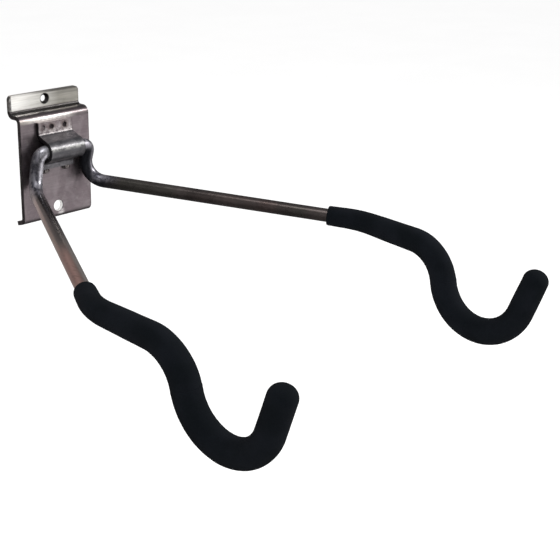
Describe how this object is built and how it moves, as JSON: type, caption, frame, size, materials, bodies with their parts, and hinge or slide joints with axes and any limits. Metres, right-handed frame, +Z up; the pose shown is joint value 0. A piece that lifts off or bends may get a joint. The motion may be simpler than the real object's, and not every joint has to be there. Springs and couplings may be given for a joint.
{
  "type": "bicycle wall rack",
  "caption": "Folding wall rack: a bent steel plate that hooks into a slotted wall panel, with a hinged round-bar yoke of two arms that end in foam-covered hooks.",
  "frame": {"origin": "centre of the plate's flat back face, which lies on the face of the wall panel", "axes": "+X to the right for a person who faces the wall, +Y into the wall, +Z up; the arms stick out along -Y"},
  "size_m": [0.2584, 0.3485, 0.1413],
  "materials": {
    "plate_steel": "clear-coated mill steel, satin",
    "strap_steel": "clear-coated mill steel, satin",
    "bar_steel": "dark clear-coated round bar, satin",
    "foam": "matte closed-cell foam"
  },
  "bodies": {
    "bracket": {"back_plate": "plate_steel", "hinge_strap": "strap_steel"},
    "arms": {"arm_bar": "bar_steel", "foam_sleeve_left": "foam", "foam_sleeve_right": "foam"}
  },
  "joints": [
    {"name": "arms_fold", "type": "hinge", "parent": "bracket", "child": "arms", "pos_m": [0, -0.0122, 0.0135], "axis": [-1, 0, 0], "range_deg": [0, 99]}
  ]
}
